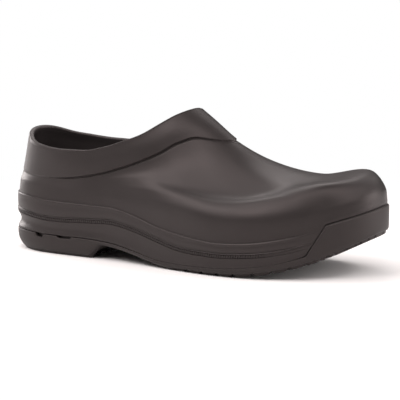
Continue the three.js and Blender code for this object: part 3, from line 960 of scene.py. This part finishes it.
def lug_polygons():
    """Lugs of the heel and the forefoot in plan: the cells of a square lattice of channels,
    each cut once each way by a sipe, as far as they lie inside the edge rib."""
    stations = Stations(120)
    border = stations.inset(EDGE_RIB + CHANNEL * 0.8)[:, :2]
    lugs = []
    zones = ((0.0, HEEL_END - 0.012), (ARCH_END + 0.02, 1.0))
    half_cell = (LUG_PITCH - CHANNEL - SIPE) / 2
    offsets = (CHANNEL / 2, CHANNEL / 2 + half_cell + SIPE)
    lanes = math.ceil(BALL_WIDTH / 2 / LUG_PITCH)
    for start, end in zones:
        first, last = (start - 0.5) * LENGTH, (end - 0.5) * LENGTH
        rows = math.ceil((last - first) / LUG_PITCH) + 1
        for row in range(rows):
            for lane in range(-lanes - 1, lanes + 1):
                for dx in offsets:
                    for dy in offsets:
                        x = last - (row + 1) * LUG_PITCH + dx
                        y = lane * LUG_PITCH + dy
                        low = np.array([max(x, first), y])
                        high = np.array([min(x + half_cell, last), y + half_cell])
                        if high[0] - low[0] < 1.5:
                            continue
                        cell = clip_to_box(border, low, high)
                        if len(cell) >= 3 and abs(area_of(cell)) > 7:
                            lugs.append(thinned(cell))
    return lugs


def thinned(polygon):
    """The polygon without points closer than 0.3 mm to the one before."""
    apart = np.linalg.norm(polygon - np.roll(polygon, 1, 0), axis=1)
    return polygon[apart > 0.3]


def outsole_field(stations):
    """The recessed face under the sole with its lugs: a flat triangulation round the lugs'
    outlines, laid on the sole's underside, and a tapered block for each lug."""
    border = stations.inset(EDGE_RIB)[:, :2]
    lugs = lug_polygons()
    spread = np.array(
        [(x, y) for x in np.arange(-60, 22, 5.0) for y in np.arange(-32, 33, 5.0)]
    )
    flat = [Vector(p) for p in np.concatenate([border, *lugs, spread])]
    faces, first = [list(range(len(border)))], len(border)
    for lug in lugs:
        faces.append(list(range(first, first + len(lug))))
        first += len(lug)
    made = delaunay_2d_cdt(flat, [], faces, 1, 1e-5, True)
    points = np.array([tuple(p) for p in made[0]])
    kept = [list(face) for face, origin in zip(made[2], made[5]) if origin == [0]]
    height = lug_top(share_of(points[:, 0]), points[:, 1])
    points = np.column_stack([points, height])
    all_points, all_faces = [points], kept
    base = len(points)
    for lug in lugs:
        middle = lug.mean(0)
        size = math.sqrt(abs(area_of(lug)))
        tip = middle + (lug - middle) * (1 - 0.5 / size)
        share, tip_share = share_of(lug[:, 0]), share_of(tip[:, 0])
        foot = np.column_stack([lug, lug_top(share, lug[:, 1])])
        end = np.column_stack([tip, ground(tip_share, tip[:, 1])])
        all_points += [foot, end]
        count = len(lug)
        ring = np.arange(count)
        nxt = (ring + 1) % count
        walls = np.stack(
            [base + ring, base + nxt, base + count + nxt, base + count + ring], -1
        )
        all_faces = all_faces + walls.tolist() + [(base + count + ring).tolist()]
        base += 2 * count
    return np.concatenate(all_points), all_faces


def outsole_piece(material):
    """The outsole: the tray with its heel block, arch and toe bumper, welded to the tread."""
    marks = (HEEL_END, BREAST_TOP, BUMPER_LOW, BUMPER_TOP)
    stations = Stations(400, [angle_at(mark) for mark in marks])
    rings = outsole_shell(stations)
    rows, columns = rings.shape[:2]
    body = rings.reshape(-1, 3)
    inner_rows = 6
    floor = cap_grid(rings[-1], inner_rows).reshape(-1, 3)
    faces = closed_faces(rows, columns).tolist()
    faces += cap_faces((rows - 1) * columns, columns // 2, len(body), inner_rows, True)
    field, field_faces = outsole_field(stations)
    base = len(body) + len(floor)
    faces += [[base + i for i in face] for face in field_faces]
    points = np.concatenate([body, floor, field])
    piece = make_mesh("outsole_rubber", points, faces, material)
    work = bmesh.new()
    work.from_mesh(piece.data)
    bmesh.ops.remove_doubles(work, verts=work.verts, dist=2e-5)
    bmesh.ops.dissolve_degenerate(work, edges=work.edges, dist=1e-6)
    bmesh.ops.recalc_face_normals(work, faces=work.faces)
    work.to_mesh(piece.data)
    work.free()
    piece.data.set_sharp_from_angle(angle=CRISP_ANGLE)
    return piece


def insole_piece(material):
    """The footbed: a loose slab with rounded edges, a cupped heel and a raised inner arch."""
    stations = Stations(200)
    edge_in = INSIDE + CLEARANCE * 1.6
    share = stations.share
    cup = HEEL_CUP * (1 - soft(share, 0.12, 0.34))
    arch = ARCH_SUPPORT * soft(share, 0.22, 0.38) * (1 - soft(share, 0.4, 0.58))
    inner = np.maximum(0, -np.sin(stations.angle))
    raised = cup + arch * inner

    def rim(depth, height, edge):
        return stations.ground_ring(depth, lambda s, v: floor_height(s, v) + height + edge * raised)

    rings = [rim(edge_in + CORNER - CLEARANCE, CLEARANCE, 0)]
    for turn in np.linspace(0, math.pi / 2, 5)[1:]:
        depth = edge_in + (CORNER - CLEARANCE) * (1 - math.sin(turn))
        rings.append(rim(depth, lerp(CLEARANCE, CORNER, 1 - math.cos(turn)), 0))
    rings.append(rim(edge_in, lerp(CORNER, INSOLE, 0.5), 0.6))
    for turn in np.linspace(0, math.pi / 2, 6):
        depth = edge_in + 0.1 + 1.4 * (1 - math.cos(turn))
        rings.append(rim(depth, INSOLE - 0.5 + 0.9 * math.sin(turn), 1))

    def crown(part, column):
        valley = 4 * part * (1 - part)
        return -valley * (0.9 * cup[column] + 0.3 * arch[column])

    points, faces = ring_solid(joined(rings), 3, 30, crown)
    return make_mesh("footbed", points, faces, material)


def noise_group():
    """Surface of a moulded part: a fine grain as height, and slow patches as a mask."""
    group = bpy.data.node_groups.new("moulded_surface", "ShaderNodeTree")
    for name, value in (("Grain size", 0.0005), ("Patch size", 0.03)):
        socket = group.interface.new_socket(name, in_out="INPUT", socket_type="NodeSocketFloat")
        socket.default_value = value
    group.interface.new_socket("Height", in_out="OUTPUT", socket_type="NodeSocketFloat")
    group.interface.new_socket("Patches", in_out="OUTPUT", socket_type="NodeSocketFloat")
    nodes, links = group.nodes, group.links
    inputs, outputs = nodes.new("NodeGroupInput"), nodes.new("NodeGroupOutput")
    place = nodes.new("ShaderNodeTexCoord")
    for size, result, detail in (("Grain size", "Height", 3), ("Patch size", "Patches", 2)):
        scale = nodes.new("ShaderNodeMath")
        scale.operation = "DIVIDE"
        scale.inputs[0].default_value = 1
        links.new(inputs.outputs[size], scale.inputs[1])
        noise = nodes.new("ShaderNodeTexNoise")
        noise.inputs["Detail"].default_value = detail
        noise.inputs["Roughness"].default_value = 0.55
        links.new(place.outputs["Object"], noise.inputs["Vector"])
        links.new(scale.outputs[0], noise.inputs["Scale"])
        links.new(noise.outputs["Fac"], outputs.inputs[result])
    return group


def moulded_material(name, group, dark, light, rough, grain, patch, bump):
    """A moulded foam or rubber: two near colours mixed by slow patches, a roughness that
    follows them a little and a fine grain as bump."""
    material = bpy.data.materials.new(name)
    material.use_nodes = True
    nodes, links = material.node_tree.nodes, material.node_tree.links
    shader = nodes["Principled BSDF"]
    surface = nodes.new("ShaderNodeGroup")
    surface.node_tree = group
    surface.inputs["Grain size"].default_value = grain
    surface.inputs["Patch size"].default_value = patch
    colour = nodes.new("ShaderNodeMix")
    colour.data_type = "RGBA"
    colour.inputs[6].default_value = (*dark, 1)
    colour.inputs[7].default_value = (*light, 1)
    links.new(surface.outputs["Patches"], colour.inputs[0])
    links.new(colour.outputs[2], shader.inputs["Base Color"])
    spread = nodes.new("ShaderNodeMapRange")
    spread.inputs["To Min"].default_value = rough[0]
    spread.inputs["To Max"].default_value = rough[1]
    links.new(surface.outputs["Patches"], spread.inputs["Value"])
    links.new(spread.outputs["Result"], shader.inputs["Roughness"])
    relief = nodes.new("ShaderNodeBump")
    relief.inputs["Strength"].default_value = bump[0]
    relief.inputs["Distance"].default_value = bump[1]
    links.new(surface.outputs["Height"], relief.inputs["Height"])
    links.new(relief.outputs["Normal"], shader.inputs["Normal"])
    shader.inputs["Specular IOR Level"].default_value = 0.35
    shader.inputs["Specular Tint"].default_value = (1, 0.87, 0.86, 1)
    return material


TARGET = Vector((0, 0, 0.05))
SKY = 0.11
LAMP_TINT = (1, 0.95, 0.94)
FLOOR_COLOUR = (0.9, 0.89, 0.885)
FLOOR_NEAR, FLOOR_FAR = 0.24, 0.5

# Soft lights round the shoe: degrees round from the outer side and up, metres off, edge in metres
# and watts. The watts and the sky's strength are results of a least-squares fit to the tones,
# scaled, rounded and most of them changed after that
LIGHTS = (
    ("top_left", -58, 65, 1.5, 0.9, 5.7),
    ("left_high", -58, 45, 1.6, 0.5, 5.2),
    ("left_low", -58, 10, 1.6, 0.6, 1.7),
    ("left_front", -15, 42, 1.6, 0.6, 9.5),
    ("front", 32, 50, 1.6, 0.9, 7.8),
    ("right_front", 75, 40, 1.6, 0.8, 7.2),
    ("right_high", 112, 48, 1.6, 0.5, 2.5),
    ("right_low", 122, 12, 1.6, 0.9, 12),
    ("back_left", -105, 15, 1.6, 0.7, 15),
    ("back", 212, 50, 1.6, 0.9, 7.8),
    ("back_right", 165, 40, 1.6, 0.9, 2.8),
)


def direction(azimuth, elevation):
    """Unit vector, degrees round from the outer side of the shoe and up from the floor."""
    azimuth, elevation = math.radians(azimuth), math.radians(elevation)
    flat = math.cos(elevation)
    return Vector((math.sin(azimuth) * flat, -math.cos(azimuth) * flat, math.sin(elevation)))


def area_light(name, azimuth, elevation, distance, size, power):
    """A square lamp that faces the shoe."""
    light = bpy.data.lights.new(name, "AREA")
    light.size = size
    light.energy = power
    light.color = LAMP_TINT
    lamp = bpy.data.objects.new(name, light)
    way = direction(azimuth, elevation)
    turn = way.to_track_quat("Z", "Y").to_matrix().to_4x4()
    lamp.matrix_world = Matrix.Translation(TARGET + way * distance) @ turn
    bpy.context.scene.collection.objects.link(lamp)


def make_camera():
    """The photograph's view: 32 degrees round from the outer side, 7.6 degrees up, 1.4 m off."""
    distance = 1.4
    back = direction(32, 7.6)
    data = bpy.data.cameras.new("camera")
    data.sensor_width = 36
    pixels, per_metre = 400, 1360
    data.lens = per_metre * distance * data.sensor_width / pixels
    data.shift_x = (pixels / 2 - 192) / pixels
    data.shift_y = -(pixels / 2 - 191.3) / pixels
    data.clip_start, data.clip_end = 0.05, 50
    camera = bpy.data.objects.new("camera", data)
    camera.location = TARGET + back * distance
    camera.rotation_mode = "QUATERNION"
    camera.rotation_quaternion = (-back).to_track_quat("-Z", "Y")
    bpy.context.scene.collection.objects.link(camera)
    bpy.context.scene.camera = camera


def paper_material():
    """The floor's white paper. The further from the shoe, the more it glows by itself, so that
    it runs into the white backdrop. The glow shows to the camera alone."""
    material = bpy.data.materials.new("floor_paper")
    material.use_nodes = True
    nodes, links = material.node_tree.nodes, material.node_tree.links
    shader = nodes["Principled BSDF"]
    shader.inputs["Base Color"].default_value = (*FLOOR_COLOUR, 1)
    shader.inputs["Roughness"].default_value = 0.9
    shader.inputs["Specular IOR Level"].default_value = 0.1
    place = nodes.new("ShaderNodeTexCoord")
    away = nodes.new("ShaderNodeVectorMath")
    away.operation = "LENGTH"
    links.new(place.outputs["Object"], away.inputs[0])
    far = nodes.new("ShaderNodeMapRange")
    far.interpolation_type = "SMOOTHSTEP"
    far.inputs["From Min"].default_value = FLOOR_NEAR
    far.inputs["From Max"].default_value = FLOOR_FAR
    links.new(away.outputs["Value"], far.inputs["Value"])
    path = nodes.new("ShaderNodeLightPath")
    seen = nodes.new("ShaderNodeMath")
    seen.operation = "MULTIPLY"
    links.new(far.outputs["Result"], seen.inputs[0])
    links.new(path.outputs["Is Camera Ray"], seen.inputs[1])
    glow = nodes.new("ShaderNodeEmission")
    mix = nodes.new("ShaderNodeMixShader")
    links.new(seen.outputs["Value"], mix.inputs[0])
    links.new(shader.outputs["BSDF"], mix.inputs[1])
    links.new(glow.outputs["Emission"], mix.inputs[2])
    links.new(mix.outputs["Shader"], nodes["Material Output"].inputs["Surface"])
    return material


def make_stage():
    """A pale floor, a white backdrop for the camera and soft studio light."""
    mesh = bpy.data.meshes.new("floor")
    reach = 6.0
    corners = [(-reach, -reach, 0), (reach, -reach, 0), (reach, reach, 0), (-reach, reach, 0)]
    mesh.from_pydata(corners, [], [(0, 1, 2, 3)])
    mesh.materials.append(paper_material())
    floor = bpy.data.objects.new("floor", mesh)
    floor.location.z = -0.0002
    bpy.context.scene.collection.objects.link(floor)

    world = bpy.data.worlds.new("studio")
    world.use_nodes = True
    nodes, links = world.node_tree.nodes, world.node_tree.links
    sky = nodes["Background"]
    sky.inputs["Color"].default_value = (*LAMP_TINT, 1)
    sky.inputs["Strength"].default_value = SKY
    backdrop = nodes.new("ShaderNodeBackground")
    backdrop.inputs["Color"].default_value = (1, 1, 1, 1)
    path, mix = nodes.new("ShaderNodeLightPath"), nodes.new("ShaderNodeMixShader")
    links.new(path.outputs["Is Camera Ray"], mix.inputs[0])
    links.new(sky.outputs[0], mix.inputs[1])
    links.new(backdrop.outputs[0], mix.inputs[2])
    links.new(mix.outputs[0], nodes["World Output"].inputs["Surface"])
    bpy.context.scene.world = world

    for lamp in LIGHTS:
        area_light(*lamp)
    view = bpy.context.scene.view_settings
    view.view_transform = "Standard"
    view.look = "None"


def main():
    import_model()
    make_camera()
    make_stage()
    surface = noise_group()
    foam = moulded_material(
        "charcoal_foam",
        surface,
        (0.0175, 0.015, 0.0147),
        (0.022, 0.0189, 0.0185),
        (0.39, 0.47),
        0.0006,
        0.02,
        (0.12, 0.0002),
    )
    rubber = moulded_material(
        "black_rubber",
        surface,
        (0.018, 0.0155, 0.0151),
        (0.0225, 0.0194, 0.0189),
        (0.5, 0.6),
        0.0008,
        0.015,
        (0.15, 0.0002),
    )
    footbed = moulded_material(
        "footbed_foam",
        surface,
        (0.0101, 0.0087, 0.0085),
        (0.0135, 0.0116, 0.0113),
        (0.75, 0.85),
        0.0009,
        0.01,
        (0.4, 0.0003),
    )
    pieces = (
        (upper_piece(foam), "upper", "upper"),
        (outsole_piece(rubber), "outsole", "outsole"),
        (insole_piece(footbed), "insole", "insole"),
    )
    for piece, node, slot in pieces:
        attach(piece, "root")
        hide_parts(node)
    ribs = bead_ribs(foam)
    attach(ribs, "root")


main()
